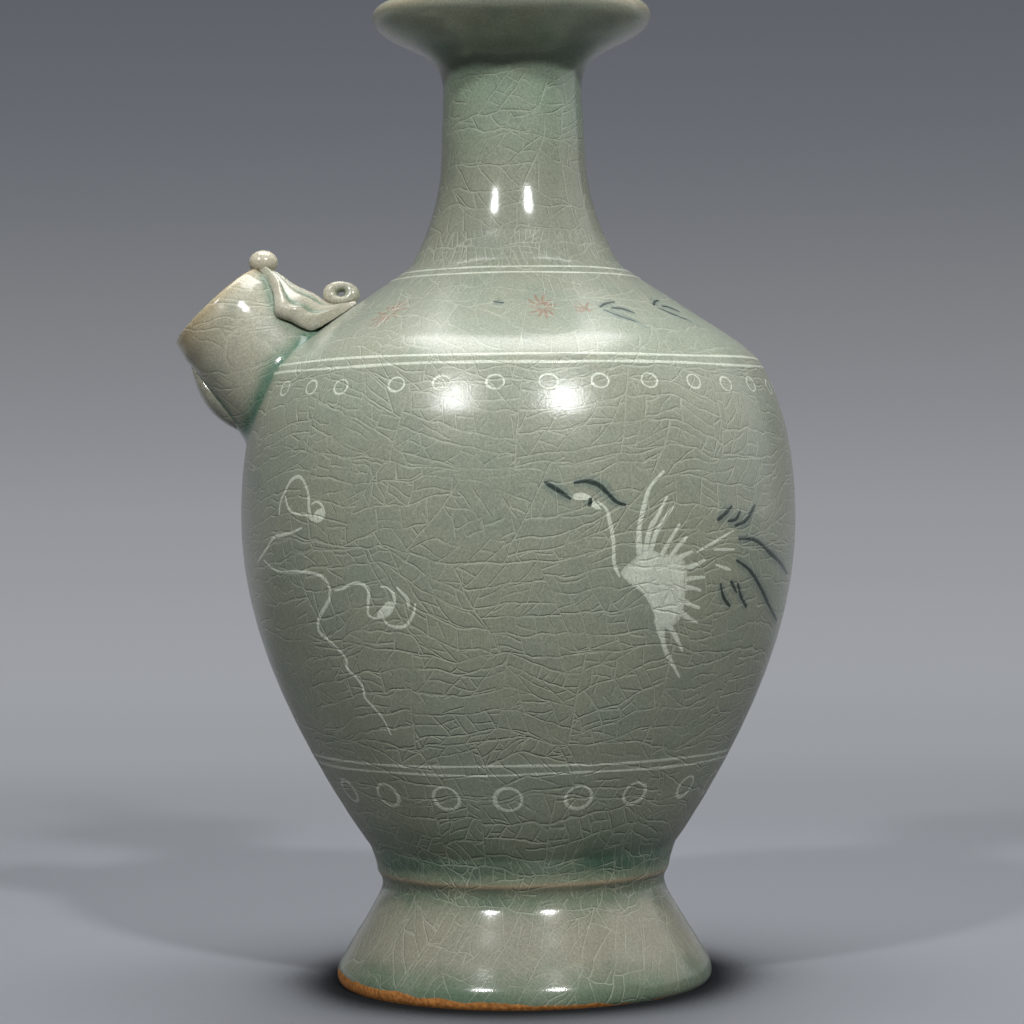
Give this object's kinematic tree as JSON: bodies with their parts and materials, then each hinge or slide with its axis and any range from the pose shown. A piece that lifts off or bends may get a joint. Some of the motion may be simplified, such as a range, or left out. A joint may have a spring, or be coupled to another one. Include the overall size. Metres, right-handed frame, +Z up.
{
  "type": "kundika ritual ewer",
  "caption": "Hollow celadon kundika ewer: pedestal foot, round inlaid body, waisted neck, flange with slender pouring tube, and cup-mouthed filler spout with leaf and cord loop on the shoulder",
  "frame": {"origin": "middle of the part's box on the plane that the foot rests on; the axis that the pot was thrown on stands 8.5 mm to the +X side of it", "axes": "+Z up along the thrown axis, from the foot to the pouring tube; the filler spout stands on the -X side of the shoulder, in the XZ plane; +Y completes the right-handed frame"},
  "size_m": [0.167, 0.15, 0.3332],
  "materials": {
    "celadon_glaze": "glossy grey-green celadon glaze over stoneware, finely crackled, pooling darker in the hollows; the foot's edge is bare orange-brown clay",
    "pale_glaze": "thin glossy glaze, paler and greyer beige than the body, brown at the rim",
    "white_slip": "white slip inlaid under the clear glaze, glossy"
  },
  "bodies": {
    "root": {"foot": "celadon_glaze", "lower_body": "celadon_glaze", "upper_body": "celadon_glaze", "neck": "celadon_glaze", "flange": "celadon_glaze", "pouring_tube": "celadon_glaze", "filler_spout": "pale_glaze", "spout_leaf": "pale_glaze", "leaf_bead": "pale_glaze", "lid_cord_loop": "pale_glaze", "spout_sepal": "pale_glaze", "lower_line_inlay_low": "white_slip", "lower_line_inlay_high": "white_slip", "shoulder_line_inlay_low": "white_slip", "shoulder_line_inlay_high": "white_slip", "neck_line_inlay_low": "white_slip", "neck_line_inlay_high": "white_slip"}
  },
  "joints": []
}
